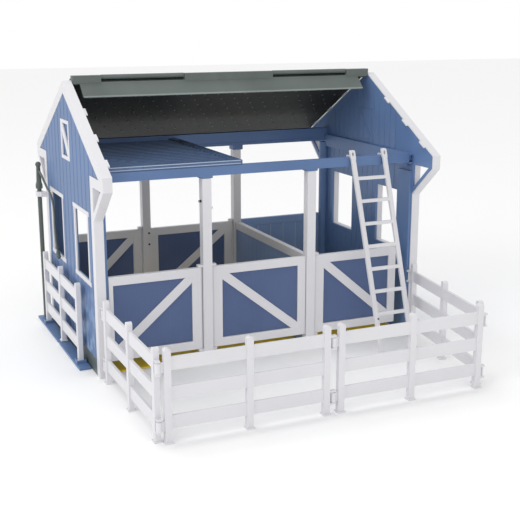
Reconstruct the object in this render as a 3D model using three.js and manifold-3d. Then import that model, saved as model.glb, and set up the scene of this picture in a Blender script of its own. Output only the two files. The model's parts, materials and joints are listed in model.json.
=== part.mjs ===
// A toy stable: two gable walls, a folding roof, half doors, a loft, a ladder,
// a fenced yard and a wash place. Millimetres, +Z up, front of the stable at -Y.
import * as THREE from 'three';
import { mergeVertices } from 'three/addons/utils/BufferGeometryUtils.js';
import Module from 'manifold-3d';

const wasm = await Module();
wasm.setup();

// Driving dimensions of the stable
const stableSpan = 380;
const stableDepth = 220;
const ridgeHeight = 297.2;
const eaveHeight = 214.6;
const eaveOverhang = 38.4;
const clearance = 0.3;
const cutOverrun = 5;
const weldTolerance = 0.0001;
const facets = { fine: 12, plain: 16, wide: 20, nozzle: 14, hose: 8 };

// Gable trim
const trimWidth = 9.6;
const trimFlange = 1.3;
const trimPostDepth = 10.5;
const eaveEndDrop = 14.5;
const rakeDrop = 12.8;
const soffitThickness = 10.3;
const bracketRise = 34.1;
const bracketBand = 8;
const tabLength = 10.5;
const tabReach = 2.6;
const tabThickness = 1.6;
const tabPlaceShares = [0.34, 0.61, 0.86];

// Gable wall
const wallRecess = 1.2;
const wallSkin = 2.3;
const boardPitch = 12.2;
const boardGroove = 0.8;
const grooveDepth = 0.5;
const pilasterDepth = 28.5;
const pilasterProud = 2.9;
const pilasterTopGap = 5;
const ledgeProud = 4;
const ledgeHeight = 15.2;
const socketLength = 5.4;
const socketWall = 1.7;
const cornerColumnRadius = 6;

// Windows and the small loft door
const windowWidth = 52;
const windowHeight = 69.3;
const windowDrop = 31.2;
const windowSpacingShare = 0.5045;
const windowStile = 4.2;
const windowRail = 4.6;
const windowEar = 3.1;
const leftFrameDepth = 2;
const leftPanelDepth = 3.2;
const loftDoorWidth = 36;
const loftDoorRise = 0.4;
const loftDoorHeightShare = 0.7;
const loftDoorBar = 4;
const loftDoorReach = 1;

// Beams and posts
const frontBeamDepth = 8.5;
const frontBeamHeight = 9.6;
const beamDrop = 1.8;
const backBeamDepth = 11;
const backBeamRise = 6.2;
const backBeamHeight = 16.3;
const backCapThickness = 5.4;
const backLipProud = 1;
const backLipHeight = 3.4;
const capThickness = 2.2;
const capProud = 1.7;
const postSide = 10;
const postPlaceShares = [0.3168, 0.6374];
const tackPinRadius = 1.3;
const tackPinReach = 2.6;
const tackPinHeightShares = [0.87, 0.832];

// Loft floor
const loftReach = 151;
const loftThickness = 2.6;
const loftRibHeight = 1.1;
const loftRibWidth = 5.2;
const loftRibPitch = 11.5;
const loftLipWidth = 9.5;
const loftLipHeight = 2.4;

// Roof
const roofSheet = 2.2;
const hingeLift = 0.15;
const roofSideGap = 0.6;
const roofStart = 6.6;
const rodRadius = 1;
const capFront = 3.6;
const capSkirtFall = 14.7;
const capSkirtSheet = 1.8;
const capNotchLeft = 7.8;
const capNotchRight = 14.5;
const knuckleGap = 0.4;
const knuckleSpanShares = [[0.11, 0.358], [0.643, 0.895]];
const knuckleBlockHalf = 4;
const courseCount = 9;
const courseWidth = 0.9;
const courseDepth = 0.6;

// Floor sheet, half wall and partition
const floorThickness = 1.6;
const floorInset = 12;
const floorBackInset = 14.5;
const halfWallTop = 107.5;
const halfWallThickness = 5;
const partitionTop = 106;
const partitionSheet = 4;
const partitionRailHeight = 9.5;
const partitionRailWidth = 6.4;
const partitionEndGap = 0.6;

// Doors
const doorTop = 106.2;
const doorBottom = 16.5;
const doorThickness = 5;
const doorRail = 9.4;
const doorSlimRail = 4.6;
const doorBraceWidth = 6.8;
const doorPanelSheet = 2;
const doorPinRadius = 1.4;
const doorPinReach = 3;
const doorEndGap = 0.6;
const lugThickness = 2.6;
const rightDoorGap = 17.9;

// Ladder
const ladderSpacing = 39.8;
const ladderPlaceShare = 0.764;
const ladderRailWidth = 5;
const ladderRailDepth = 4;
const ladderRise = 8.2;
const ladderFootOut = 54;
const ladderTopOut = 2.6;
const ladderSkew = 13;
const rungPitch = 24.4;
const rungDrop = 22.2;
const rungHeight = 3.6;
const rungDepth = 3;
const hookWidth = 2.4;
const hookThickness = 1.6;
const hookLip = 3.4;
const ladderEyeRadius = 1.1;

// Fence panels
const fenceLength = 155.5;
const fenceHeight = 88;
const fencePost = 6.3;
const fencePostDepth = 5.4;
const fencePostSegments = 8;
const fenceRailThickness = 2.8;
const fenceRailShares = [[0.153, 0.293], [0.457, 0.597], [0.765, 0.903]];
const fenceFoot = 7.8;
const fenceFootHeight = 1.6;
const clipHeightShares = [0.1875, 0.801];
const clipHeight = 9.2;
const bracketHeight = 14;
const bracketLug = 2;
const clipRodRadius = 1.3;
const clipWall = 1.2;
const clipArm = 2;
const sideReach = 9;
const sideEndReach = 6.4;
const frontReach = 8.2;
const middleReach = 7.6;
const leftFenceIn = 5.1;
const leftFenceOut = 5.8;
const rightFenceIn = 11.2;
const rightFenceOut = 4.6;
const rightFenceSlant = 23;

// Wash place
const baseWidth = 13.5;
const baseAhead = 20.6;
const baseBehind = 21;
const baseThickness = 2.5;
const cupWall = 1.3;
const cupHeight = 3.2;
const washLine = 7;
const washFenceGap = 11.4;
const poleRadius = 2.65;
const poleBehind = 4.5;
const collarBottom = 158;
const collarHeight = 6;
const collarRadius = 4.6;
const handleTop = 190;
const handleRadius = 3;
const handleFlare = 4.1;
const handleShares = { flare: 1 / 6, grip: 1 / 3, neck: 0.8 };
const knobRadius = 3.4;
const knobSteps = 6;
const knobStartAngle = -Math.PI / 3;
const poleSpigot = 1.7;
const hoseRadius = 1.25;
const hoseSteps = 30;
const nozzleRadius = 2.5;
const nozzleLength = 9;
const nozzleShares = { mouth: 0.7, end: 0.8, front: 1 / 3, back: 0.8 };
const splashHeight = 17;
const splashThickness = 0.7;

// Worked-out places
const roofFall = (ridgeHeight - eaveHeight) / (stableDepth / 2 + eaveOverhang);
const roofPitch = Math.atan(roofFall);
const ridgeLine = stableDepth / 2;
const hingeHeight = ridgeHeight + (roofSheet + hingeLift) / Math.cos(roofPitch);
const barrelRadius = roofSheet + hingeLift;
const slopeLength = (stableDepth / 2 + eaveOverhang) / Math.cos(roofPitch);
const innerLeft = trimWidth;
const innerRight = stableSpan - trimWidth;
const soffitHeight = eaveHeight - eaveEndDrop;
const bracketFoot = soffitHeight - bracketRise;
const beamTop = eaveHeight - beamDrop;
const windowTop = beamTop - ledgeHeight - windowDrop;
const windowBottom = windowTop - windowHeight;
const backBeamTop = eaveHeight + backBeamRise;
const frontBeamFloor = beamTop - frontBeamHeight;
const backBeamFloor = backBeamTop - backBeamHeight;
const doorLine = postSide / 2;
const postPlaces = postPlaceShares.map((share) => share * stableSpan);
const knuckleSpans = knuckleSpanShares.map((shares) => shares.map((share) => share * stableSpan));
const clipHeights = clipHeightShares.map((share) => share * fenceHeight);
const loftDoorBottom = beamTop + loftDoorRise;
const loftDoorApex = ridgeHeight - rakeDrop - (roofFall * loftDoorWidth) / 2;
const loftDoorTop = loftDoorBottom + (loftDoorApex - loftDoorBottom) * loftDoorHeightShare;
const leftFenceRoot = [leftFenceIn, -leftFenceOut];
const rightFenceRoot = [stableSpan - rightFenceIn, -rightFenceOut];
const fenceHingeLine = -leftFenceOut - sideReach - fenceLength - sideEndReach;
const washFenceFront = stableDepth - washFenceGap - fenceLength;
const polePlace = stableDepth + poleBehind;

const finishes = {
  blue: { color: '#6078ae', roughness: 0.42, metalness: 0 },
  deepBlue: { color: '#54699c', roughness: 0.42, metalness: 0 },
  white: { color: '#e4e4e8', roughness: 0.38, metalness: 0 },
  roofGrey: { color: '#4f5653', roughness: 0.5, metalness: 0 },
  poleGrey: { color: '#48514f', roughness: 0.45, metalness: 0 },
  mustard: { color: '#c9a40c', roughness: 0.5, metalness: 0 },
};

// Solids

function solidOf(geometry) {
  geometry.deleteAttribute('normal');
  geometry.deleteAttribute('uv');
  const merged = mergeVertices(geometry, weldTolerance);
  return new wasm.Manifold(new wasm.Mesh({
    numProp: 3,
    vertProperties: new Float32Array(merged.attributes.position.array),
    triVerts: new Uint32Array(merged.index.array),
  }));
}

function geometryOf(solid) {
  const mesh = solid.getMesh();
  const geometry = new THREE.BufferGeometry();
  geometry.setAttribute('position', new THREE.BufferAttribute(new Float32Array(mesh.vertProperties), 3));
  geometry.setIndex(new THREE.BufferAttribute(new Uint32Array(mesh.triVerts), 1));
  geometry.computeVertexNormals();
  return geometry;
}

function joined(solids) {
  return solids.reduce((sum, solid) => sum.add(solid));
}

function cutBy(solid, tools) {
  return tools.reduce((rest, tool) => rest.subtract(tool), solid);
}

function block([x0, x1], [y0, y1], [z0, z1]) {
  const geometry = new THREE.BoxGeometry(x1 - x0, y1 - y0, z1 - z0);
  geometry.translate((x0 + x1) / 2, (y0 + y1) / 2, (z0 + z1) / 2);
  return solidOf(geometry);
}

// An outline in (y, z) drawn out along X
function alongX(points, [x0, x1]) {
  const shape = new THREE.Shape(points.map(([y, z]) => new THREE.Vector2(y, z)));
  const geometry = new THREE.ExtrudeGeometry(shape, { depth: x1 - x0, bevelEnabled: false });
  geometry.applyMatrix4(new THREE.Matrix4().set(0, 0, 1, x0, 1, 0, 0, 0, 0, 1, 0, 0, 0, 0, 0, 1));
  return solidOf(geometry);
}

// An outline in (x, z) drawn out along Y
function alongY(points, [y0, y1]) {
  const shape = new THREE.Shape(points.map(([x, z]) => new THREE.Vector2(x, -z)));
  const geometry = new THREE.ExtrudeGeometry(shape, { depth: y1 - y0, bevelEnabled: false });
  geometry.applyMatrix4(new THREE.Matrix4().set(1, 0, 0, 0, 0, 0, 1, y0, 0, -1, 0, 0, 0, 0, 0, 1));
  return solidOf(geometry);
}

function rod(radius, length, sides = facets.plain) {
  return new THREE.CylinderGeometry(radius, radius, length, sides);
}

function rodUp([x, y], radius, [z0, z1], sides = facets.plain) {
  const geometry = rod(radius, z1 - z0, sides);
  geometry.rotateX(Math.PI / 2);
  geometry.translate(x, y, (z0 + z1) / 2);
  return solidOf(geometry);
}

function rodAcross([x0, x1], [y, z], radius, sides = facets.plain) {
  const geometry = rod(radius, x1 - x0, sides);
  geometry.rotateZ(Math.PI / 2);
  geometry.translate((x0 + x1) / 2, y, z);
  return solidOf(geometry);
}

function turned(profile, [x, y, z], sides = facets.wide) {
  const geometry = new THREE.LatheGeometry(profile.map(([r, h]) => new THREE.Vector2(r, h)), sides);
  geometry.rotateX(Math.PI / 2);
  geometry.translate(x, y, z);
  return solidOf(geometry);
}

// The parts of the scene

const stable = new THREE.Group();
stable.position.set(-stableSpan / 2, -stableDepth / 2, 0);

function place(name, solid, finish, parent = stable) {
  const material = new THREE.MeshStandardMaterial(finishes[finish]);
  const mesh = new THREE.Mesh(geometryOf(solid), material);
  mesh.name = name;
  parent.add(mesh);
  return mesh;
}

function moved(solid, matrix) {
  const geometry = geometryOf(solid).applyMatrix4(matrix);
  if (matrix.determinant() < 0) geometry.setIndex([...geometry.index.array].reverse());
  return solidOf(geometry);
}

// A solid drawn for the left side, mirrored for the right side
function forSide(side, solid) {
  if (side === 'left') return solid;
  const mirror = new THREE.Matrix4().makeScale(-1, 1, 1).setPosition(stableSpan, 0, 0);
  return moved(solid, mirror);
}

// Height of the rake's top line at a place along Y
function rakeAt(y) {
  return ridgeHeight - roofFall * Math.abs(y - ridgeLine);
}

function mirroredOutline(front) {
  const back = front.map(([y, z]) => [stableDepth - y, z]).reverse();
  return [...front, [ridgeLine, front.at(-1)[1] + roofFall * (ridgeLine - front.at(-1)[0])], ...back];
}

// Whole gable outline, drawn in by an inset on its sloping and upright edges
function gableOutline(inset) {
  const drop = inset / Math.cos(roofPitch);
  return mirroredOutline([
    [inset, 0],
    [inset, bracketFoot + inset],
    [inset - eaveOverhang, soffitHeight + inset / 2],
    [inset - eaveOverhang, eaveHeight - drop + roofFall * inset],
  ]);
}

// The part of the gable that the trim frames
function trimOpening(gap) {
  const rakeFloor = rakeDrop + gap;
  const barTop = soffitHeight + soffitThickness + gap;
  const tip = ridgeLine - (ridgeHeight - rakeFloor - barTop) / roofFall;
  return mirroredOutline([
    [trimPostDepth + gap, -cutOverrun],
    [trimPostDepth + gap, barTop],
    [tip, barTop],
  ]);
}

// The three-cornered gap between post, eave and bracket
function bracketGap(gap) {
  const rise = (soffitHeight - bracketFoot) / eaveOverhang;
  const foot = bracketFoot + bracketBand - gap;
  const reach = (soffitHeight - foot) / rise;
  return [[gap, foot], [gap, soffitHeight + gap], [-reach - gap, soffitHeight + gap]];
}

function bracketGaps(span, gap) {
  const front = bracketGap(gap);
  const back = front.map(([y, z]) => [stableDepth - y, z]).reverse();
  return [alongX(front, span), alongX(back, span)];
}

function tabsOn() {
  const tabs = [];
  for (const share of tabPlaceShares) {
    for (const way of [-1, 1]) {
      const centre = ridgeLine + way * share * slopeLength * Math.cos(roofPitch);
      const half = (tabLength / 2) * Math.cos(roofPitch);
      const ends = [centre - half, centre + half];
      const tabAt = (thickness, span) => {
        const top = ends.map((y) => [y, rakeAt(y) - clearance]);
        const floor = ends.map((y) => [y, rakeAt(y) - clearance - thickness]).reverse();
        return alongX([...top, ...floor], span);
      };
      tabs.push(tabAt(tabThickness / 2, [trimWidth - trimFlange, trimWidth + clearance * 2]));
      tabs.push(tabAt(tabThickness, [trimWidth + clearance, trimWidth + tabReach]));
    }
  }
  return tabs;
}

// Two lugs and the rod between them, for a clip to turn on
function clipBracket(from, axis, height, across) {
  const [lowest, highest] = [height - bracketHeight / 2, height + bracketHeight / 2];
  const half = clipRodRadius + clipWall / 2;
  const depth = [Math.min(from, axis[1]) - half, Math.max(from, axis[1])];
  const lugs = [[lowest, lowest + bracketLug], [highest - bracketLug, highest]];
  return joined([
    ...lugs.map((span) => block(across, depth, span)),
    rodUp(axis, clipRodRadius, [lowest + bracketLug / 2, highest - bracketLug / 2], facets.fine),
  ]);
}

function gableTrim(side) {
  const ring = cutBy(alongX(gableOutline(0), [0, trimWidth]), [
    alongX(trimOpening(0), [-cutOverrun, stableSpan]),
    ...bracketGaps([-cutOverrun, stableSpan], 0),
    alongX(gableOutline(trimFlange), [trimWidth - wallSkin - clearance, stableSpan]),
  ]);
  const axis = side === 'left' ? [leftFenceIn, -leftFenceOut] : [rightFenceIn, -rightFenceOut];
  const half = clipRodRadius + clipWall / 2;
  const across = [Math.min(axis[0], trimWidth) - half, axis[0] + half];
  const lugs = clipHeights.map((height) => clipBracket(trimFlange / 2, axis, height, across));
  return forSide(side, joined([ring, ...lugs, ...tabsOn()]));
}

function windowCentres() {
  const half = (windowSpacingShare * stableDepth) / 2;
  return [ridgeLine - half, ridgeLine + half];
}

function windowOutline(centre, gap) {
  const half = windowWidth / 2;
  const stile = half + windowStile + gap;
  const ear = stile + windowEar;
  const rails = [windowBottom, windowTop];
  const [low, high] = [rails[0] - windowRail - gap, rails[1] + windowRail + gap];
  const [lowIn, highIn] = [rails[0] + gap, rails[1] - gap];
  return [
    [centre - ear, low], [centre + ear, low], [centre + ear, lowIn], [centre + stile, lowIn],
    [centre + stile, highIn], [centre + ear, highIn], [centre + ear, high], [centre - ear, high],
    [centre - ear, highIn], [centre - stile, highIn], [centre - stile, lowIn], [centre - ear, lowIn],
  ];
}

function windowHole(centre, span) {
  return block(span, [centre - windowWidth / 2, centre + windowWidth / 2], [windowBottom, windowTop]);
}

// How far in from the outer face a window frame reaches; the left wall is a thin panel round its windows
function frameDepth(side) {
  return side === 'left' ? leftFrameDepth : trimWidth - wallSkin - clearance;
}

function windowFrame(side, centre) {
  const span = [0, frameDepth(side)];
  return alongX(windowOutline(centre, 0), span).subtract(windowHole(centre, [-cutOverrun, stableSpan]));
}

function loftDoorOutline() {
  const half = loftDoorWidth / 2;
  return { low: ridgeLine - half, high: ridgeLine + half };
}

// A low frame with one diagonal, set on the wall's outer face
function loftDoorFrame() {
  const { low, high } = loftDoorOutline();
  const span = [0, wallRecess + loftDoorReach - clearance];
  const inner = [low + loftDoorBar, high - loftDoorBar];
  const bar = loftDoorBar;
  const ring = block(span, [low, high], [loftDoorBottom, loftDoorTop])
    .subtract(block([-cutOverrun, stableSpan], inner, [loftDoorBottom + bar, loftDoorTop - bar]));
  const brace = alongX([
    [high, loftDoorTop - bar * 2], [high, loftDoorTop], [high - bar, loftDoorTop],
    [low, loftDoorBottom + bar * 2], [low, loftDoorBottom], [low + bar, loftDoorBottom],
  ], span);
  return ring.add(brace);
}

function boardGrooves(from, to, faceSpan, heights) {
  const cuts = [];
  for (let y = from + boardPitch; y < to - boardGroove; y += boardPitch) {
    cuts.push(block(faceSpan, [y - boardGroove / 2, y + boardGroove / 2], heights));
  }
  return joined(cuts);
}

function gableWall(side) {
  const root = trimWidth - wallSkin / 2;
  const core = alongX(trimOpening(clearance), [wallRecess, root])
    .intersect(block([-cutOverrun, stableSpan], [-stableDepth, stableDepth * 2], [0, ridgeHeight]));
  const skin = cutBy(alongX(gableOutline(trimFlange + clearance), [trimWidth - wallSkin, trimWidth]),
    bracketGaps([-cutOverrun, stableSpan], clearance));
  const outerFace = [-cutOverrun, wallRecess + grooveDepth];
  const innerFace = [trimWidth - grooveDepth, stableSpan];
  const tall = [-cutOverrun, ridgeHeight + cutOverrun];
  const pockets = windowCentres().flatMap((centre) => [
    alongX(windowOutline(centre, clearance), [-cutOverrun, frameDepth(side) + clearance]),
    windowHole(centre, [-cutOverrun, stableSpan]),
  ]);
  const { low, high } = loftDoorOutline();
  const doorRecess = block([-cutOverrun, wallRecess + loftDoorReach],
    [low - clearance, high + clearance], [loftDoorBottom - clearance, loftDoorTop + clearance]);
  const grooved = cutBy(core.add(skin), [
    boardGrooves(0, stableDepth, outerFace, tall),
    boardGrooves(pilasterDepth, stableDepth - postSide, innerFace, tall),
    ...pockets,
    doorRecess,
  ]);
  const reach = trimWidth + ledgeProud;
  const ledge = block([root, reach],
    [frontBeamDepth, stableDepth - backBeamDepth - clearance * 2], [beamTop - ledgeHeight, beamTop]);
  const pilaster = block([root, trimWidth + pilasterProud],
    [trimFlange + clearance * 2, pilasterDepth], [0, beamTop - ledgeHeight - pilasterTopGap]);
  const socketBack = frontBeamDepth + clearance + socketWall;
  const socketLevel = [frontBeamFloor - socketWall, beamTop];
  const socket = joined([
    block([root, reach], [trimFlange + clearance * 2, socketBack], socketLevel),
    block([trimWidth + clearance, trimWidth + socketLength], [clearance, socketBack], socketLevel),
  ]);
  const columnPlace = [trimWidth + cornerColumnRadius / 2,
    stableDepth - cornerColumnRadius - trimFlange - clearance];
  const column = rodUp(columnPlace, cornerColumnRadius, [0, backBeamFloor - capThickness], facets.wide)
    .intersect(block([root, stableSpan], [0, stableDepth], [-cutOverrun, ridgeHeight]));
  const tongue = tongueSpan(clearance);
  const beamHoles = [
    block([trimWidth + clearance * 2, stableSpan], [-cutOverrun, frontBeamDepth + clearance * 2],
      [frontBeamFloor, beamTop - socketWall]),
    block([trimWidth - wallSkin / 2, stableSpan], ...tongue),
  ];
  const hollow = block([leftPanelDepth, trimWidth + clearance],
    [pilasterDepth, columnPlace[1] - cornerColumnRadius - socketWall],
    [windowBottom - windowRail * 2, windowTop + windowRail * 2]);
  const cuts = side === 'left' ? [...beamHoles, hollow] : beamHoles;
  const fitted = cutBy(joined([grooved, ledge, pilaster, socket, column]), cuts);
  return forSide(side, fitted);
}

// Beams and posts

function capOver(x, [y0, y1], floor, thickness) {
  const half = postSide / 2 + capProud;
  return block([x - half, x + half], [y0, y1], [floor - thickness, floor + clearance]);
}

// Depth and height of the tongue at each end of the front beam
function tongueSpan(gap) {
  const floor = frontBeamFloor + socketWall;
  return [[frontBeamDepth / 2 - gap, frontBeamDepth + clearance + gap],
    [floor - gap, beamTop - socketWall - clearance * 2 + gap]];
}

function frontBeam() {
  const ends = [innerLeft + socketLength + clearance, innerRight - socketLength - clearance];
  const tips = [innerLeft - wallSkin / 2 + clearance, innerRight + wallSkin / 2 - clearance];
  const bar = block(ends, [clearance, frontBeamDepth + clearance], [frontBeamFloor, beamTop])
    .add(block(tips, ...tongueSpan(0)));
  const caps = postPlaces.map((x) => capOver(x, [clearance, postSide + capProud], frontBeamFloor, capThickness));
  return joined([bar, ...caps]);
}

function backBeam() {
  const depth = [stableDepth - backBeamDepth, stableDepth - clearance];
  const bar = block([innerLeft + clearance, innerRight - clearance], depth, [backBeamFloor, backBeamTop]);
  const lip = block([innerLeft + ledgeProud, innerRight - ledgeProud], [depth[0] - backLipProud, depth[1]],
    [backBeamFloor, backBeamFloor + backLipHeight]);
  const caps = postPlaces.map((x) => capOver(x, [depth[0] - capProud, depth[1]], backBeamFloor, backCapThickness));
  return joined([bar, lip, ...caps]);
}

function hingeAxis(post, way) {
  return post + way * (postSide / 2 + clearance + doorThickness / 2);
}

// Lugs that hold a door's pins, above and below the door
function doorLugs(post, way, line) {
  const axis = hingeAxis(post, way);
  const span = [post + way * postSide / 4, axis + way * doorThickness / 2].sort((a, b) => a - b);
  const depth = [line - doorThickness / 2, line + doorThickness / 2];
  const levels = [
    [doorTop + clearance, doorTop + clearance + lugThickness],
    [doorBottom - clearance - lugThickness, doorBottom - clearance],
  ];
  return levels.map((level) => block(span, depth, level)
    .subtract(rodUp([axis, line], doorPinRadius + clearance,
      [level[0] - cutOverrun, level[1] + cutOverrun], facets.fine)));
}

function postAt(index, row, ways) {
  const x = postPlaces[index];
  const front = row === 'front';
  const depth = front ? [clearance, postSide] : [stableDepth - postSide, stableDepth - clearance];
  const line = front ? doorLine : stableDepth - doorLine;
  const top = (front ? frontBeamFloor - capThickness : backBeamFloor - backCapThickness) - clearance;
  const shaft = block([x - postSide / 2, x + postSide / 2], depth, [0, top]);
  return joined([shaft, ...ways.flatMap((way) => doorLugs(x, way, line))]);
}

function tackPins(x) {
  return tackPinHeightShares.map((share, index) => {
    const height = share * frontBeamFloor;
    const way = index === 0 ? -1 : 1;
    const face = x + way * postSide / 2;
    const span = [face - way * tackPinReach, face + way * tackPinReach].sort((a, b) => a - b);
    return rodAcross(span, [doorLine, height], tackPinRadius, facets.fine);
  });
}

// Loft floor: a sheet with ribs along X and a raised lip on its free edge

function loftFloor() {
  const span = [innerLeft + clearance, innerLeft + loftReach];
  const depth = [clearance, stableDepth - backBeamDepth - clearance];
  const floor = beamTop + clearance;
  const sheet = block(span, depth, [floor, floor + loftThickness]);
  const ribs = [];
  for (let y = depth[0]; y < depth[1] - loftRibWidth; y += loftRibPitch) {
    ribs.push(block([span[0], span[1] - loftLipWidth / 2], [y, y + loftRibWidth],
      [floor + loftThickness / 2, floor + loftThickness + loftRibHeight]));
  }
  const lip = block([span[1] - loftLipWidth, span[1]], depth,
    [floor, floor + loftThickness + loftLipHeight]);
  return joined([sheet, lip, ...ribs]);
}

// Roof: sheets are drawn flat, with the ridge rod at the origin and the slope along +Y

const roofSpan = [innerLeft + roofSideGap, innerRight - roofSideGap];
const onBackSlope = new THREE.Matrix4().makeRotationX(-roofPitch).setPosition(0, ridgeLine, hingeHeight);

// Tile courses, cut as lines across a sheet's outer face
function courseCuts(outer, way) {
  const cuts = [];
  for (let course = 1; course < courseCount; course += 1) {
    const along = roofStart + (course * (slopeLength - roofStart)) / courseCount;
    const depth = [outer - way * courseDepth, outer + way * cutOverrun].sort((a, b) => a - b);
    cuts.push(block([0, stableSpan], [along, along + courseWidth], depth));
  }
  return cuts;
}

// Stretches of the ridge between the moving knuckles
function fixedRidgeSpans() {
  const ends = [roofSpan[0] - knuckleGap, ...knuckleSpans.flat(), roofSpan[1] + knuckleGap];
  const spans = [];
  for (let index = 0; index < ends.length; index += 2) {
    spans.push([ends[index] + knuckleGap, ends[index + 1] - knuckleGap]);
  }
  return spans;
}

function rodBore(centre) {
  return rodAcross([0, stableSpan], centre, rodRadius + clearance, facets.fine);
}

// Back panel with the ridge cap, its skirt down the front and the fixed knuckles
function roofBackPanel() {
  const flat = cutBy(block(roofSpan, [roofStart, slopeLength], [-barrelRadius, -hingeLift]),
    courseCuts(-hingeLift, 1));
  const sheet = moved(flat, onBackSlope);
  const webTop = ridgeHeight - barrelRadius;
  const webFloor = webTop - capSkirtSheet;
  const slopeRoot = new THREE.Vector3(0, roofStart + capSkirtSheet, -barrelRadius / 2);
  slopeRoot.applyMatrix4(onBackSlope);
  const web = alongX([
    [ridgeLine - capFront, webFloor],
    [slopeRoot.y + capSkirtSheet, webFloor - capSkirtSheet],
    [slopeRoot.y + capSkirtSheet, slopeRoot.z - capSkirtSheet / 2],
    [slopeRoot.y, slopeRoot.z],
    [ridgeLine - capFront, webTop],
  ], [roofSpan[0] + knuckleGap, roofSpan[1] - knuckleGap]);
  const tip = [ridgeLine - capFront - capSkirtFall, webTop - capSkirtFall];
  const skirt = alongX([
    [ridgeLine - capFront + capSkirtSheet, webFloor + capSkirtSheet / 4],
    [ridgeLine - capFront + capSkirtSheet / 4, webTop - capSkirtSheet / 4],
    tip,
    [tip[0], tip[1] - capSkirtSheet],
    [tip[0] + capSkirtSheet, tip[1] - capSkirtSheet],
  ], [roofSpan[0] + capNotchLeft, roofSpan[1] - capNotchRight]);
  const knuckles = fixedRidgeSpans().map((stretch) =>
    block(stretch, [ridgeLine - knuckleBlockHalf, ridgeLine + knuckleBlockHalf],
      [webTop - capSkirtSheet / 2, hingeHeight + barrelRadius - clearance]));
  return joined([sheet, web, skirt, ...knuckles]).subtract(rodBore([ridgeLine, hingeHeight]));
}

// Front panel, folded back over the ridge: its outer face lies on the back panel's
function roofFrontPanel() {
  const outer = cutBy(block(roofSpan, [roofStart, slopeLength], [hingeLift, barrelRadius]),
    courseCuts(hingeLift, -1));
  const arms = knuckleSpans.map((stretch) =>
    block(stretch, [0, roofStart + roofSheet], [hingeLift, barrelRadius]));
  const barrels = knuckleSpans.map((stretch) =>
    rodAcross(stretch, [0, 0], barrelRadius + clearance / 2, facets.wide));
  return joined([outer, ...arms, ...barrels]).subtract(rodBore([0, 0]));
}

// Doors: a white frame around blue boards, on pins in the posts' lugs, with one diagonal
// that falls from the hinge's top corner

// Places along X of a door's opening, between its stile at the hinge and the one at its free edge
function doorOpening(hinge, free, freeRail, gap) {
  const way = Math.sign(free - hinge);
  return [hinge + way * (doorRail + gap), free - way * (freeRail + gap)].sort((a, b) => a - b);
}

function doorFrame(hinge, free, line, freeRail) {
  const way = Math.sign(free - hinge);
  const half = doorThickness / 2;
  const ends = [hinge, free].sort((a, b) => a - b);
  const depth = [line - half, line + half];
  const heights = [doorBottom, doorTop];
  const ring = block(ends, depth, heights)
    .subtract(block(doorOpening(hinge, free, freeRail, 0), [-stableDepth, stableDepth * 2],
      [doorBottom + doorRail, doorTop - doorRail]));
  const barrel = rodUp([hinge, line], half, heights);
  const pins = rodUp([hinge, line], doorPinRadius,
    [doorBottom - doorPinReach, doorTop + doorPinReach], facets.fine);
  const inset = doorRail / 2;
  const [top, low] = [doorTop - inset, doorBottom + inset];
  const [root, tip] = [hinge + way * inset, free - way * (freeRail / 2)];
  const lean = way * doorBraceWidth;
  const brace = alongY([
    [root, top - doorBraceWidth], [root, top], [root + lean, top],
    [tip, low + doorBraceWidth], [tip, low], [tip - lean, low],
  ], depth);
  return joined([ring, barrel, pins, brace]);
}

// The boards fill the frame and pass behind the diagonal in a slot of their own
function doorBoards(hinge, free, line, freeRail) {
  const inner = doorOpening(hinge, free, freeRail, clearance);
  const heights = [doorBottom + doorRail + clearance, doorTop - doorRail - clearance];
  const half = doorPanelSheet / 2;
  const sheet = block(inner, [line - half, line + half], heights);
  const grooves = [];
  for (let x = inner[0] + boardPitch; x < inner[1] - boardGroove; x += boardPitch) {
    for (const face of [-1, 1]) {
      const depth = [line + face * half, line + face * (half - grooveDepth)].sort((a, b) => a - b);
      grooves.push(block([x - boardGroove / 2, x + boardGroove / 2],
        [depth[0] - (face < 0 ? clearance : 0), depth[1] + (face > 0 ? clearance : 0)],
        [heights[0] + grooveDepth, heights[1] - grooveDepth]));
    }
  }
  return sheet.subtract(joined(grooves));
}

function door(name, hinge, free, line, freeRail = doorRail) {
  const half = doorPanelSheet / 2 + clearance;
  const gap = -clearance / 2;
  const slot = block(doorOpening(hinge, free, freeRail, gap), [line - half, line + half],
    [doorBottom + doorRail + gap, doorTop - doorRail - gap]);
  place(`${name}_frame`, doorFrame(hinge, free, line, freeRail).subtract(slot), 'white');
  place(`${name}_boards`, doorBoards(hinge, free, line, freeRail), 'deepBlue');
}

// Ladder: two leaning rails, rungs, and hooks over the front beam. Everything but the hooks is drawn
// upright and then sheared to the ladder's lean and skew
function leaning() {
  const lean = (ladderFootOut - ladderTopOut) / beamTop;
  const skew = ladderSkew / beamTop;
  const shear = new THREE.Matrix4().set(1, 0, -skew, 0, 0, 1, lean, 0, 0, 0, 1, 0, 0, 0, 0, 1);
  const down = new THREE.Matrix4().makeTranslation(0, 0, -beamTop);
  const up = new THREE.Matrix4().makeTranslation(0, -ladderTopOut, beamTop);
  return up.multiply(shear).multiply(down);
}

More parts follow.
